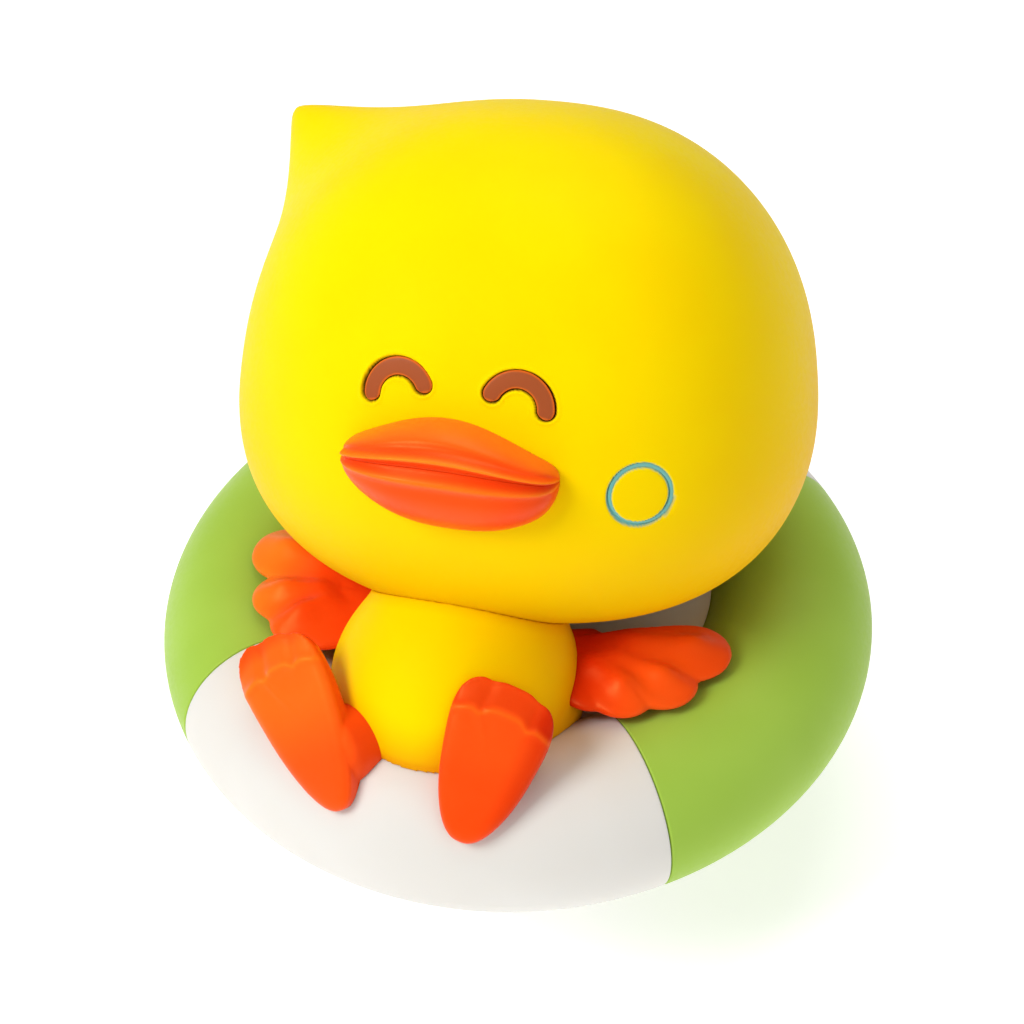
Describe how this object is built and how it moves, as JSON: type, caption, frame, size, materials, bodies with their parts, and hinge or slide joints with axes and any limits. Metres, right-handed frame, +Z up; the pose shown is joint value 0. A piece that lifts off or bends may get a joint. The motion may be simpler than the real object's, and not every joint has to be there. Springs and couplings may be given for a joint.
{
  "type": "floating chlorine dispenser",
  "caption": "Round duckling figure reclining on a swim-ring float, over a slotted screw-in canister that holds a chlorine tablet for a pool.",
  "frame": {"origin": "centre of the base cap's underside, on the canister's axis", "axes": "+Z up along the canister's axis, -Y towards the figure's front, +X towards the figure's left"},
  "size_m": [0.18, 0.18, 0.1937],
  "materials": {
    "yellow_vinyl": "satin",
    "orange_vinyl": "satin",
    "brown_paint": "satin",
    "blue_paint": "satin",
    "white_vinyl": "satin",
    "green_vinyl": "satin",
    "white_plastic": "moulded",
    "grey_plastic": "moulded",
    "seal_rubber": "matte",
    "steel": "brushed",
    "ballast": "coated"
  },
  "bodies": {
    "float": {"head_shell": "yellow_vinyl", "upper_bill": "orange_vinyl", "lower_bill": "orange_vinyl", "eye_inlay_left": "brown_paint", "eye_inlay_right": "brown_paint", "cheek_mark": "blue_paint", "neck_coupler": "white_plastic", "body_shell": "yellow_vinyl", "wing_left": "orange_vinyl", "wing_right": "orange_vinyl", "foot_left": "orange_vinyl", "foot_right": "orange_vinyl", "figure_screws": "steel", "ring_front": "white_vinyl", "ring_left": "green_vinyl", "ring_rear": "white_vinyl", "ring_right": "green_vinyl", "fill_plugs": "white_plastic", "hub_sleeve": "white_plastic", "deck_plate": "white_plastic", "deck_seal": "seal_rubber", "deck_screws": "steel", "tether_eye": "white_plastic"},
    "seal": {"rim_gasket": "seal_rubber"},
    "canister": {"canister": "white_plastic", "tablet_tray": "grey_plastic", "ballast_ring": "ballast", "base_cap": "white_plastic", "base_screws": "steel"},
    "collar": {"vent_collar": "grey_plastic"}
  },
  "joints": [
    {"name": "canister_drop", "type": "slide", "parent": "float", "child": "seal", "axis": [0, 0, -1], "range_m": [0, 0.0151]},
    {"name": "canister_turn", "type": "hinge", "parent": "seal", "child": "canister", "pos_m": [0, 0, 0.03], "axis": [0, 0, -1], "range_deg": [0, 450]},
    {"name": "collar_turn", "type": "hinge", "parent": "canister", "child": "collar", "pos_m": [0, 0, 0.024], "axis": [0, 0, 1], "range_deg": [0, 22.5]}
  ],
  "couplings": [
    {"joint": "canister_drop", "follows": "canister_turn", "m_per_rad": 0.0019099}
  ]
}
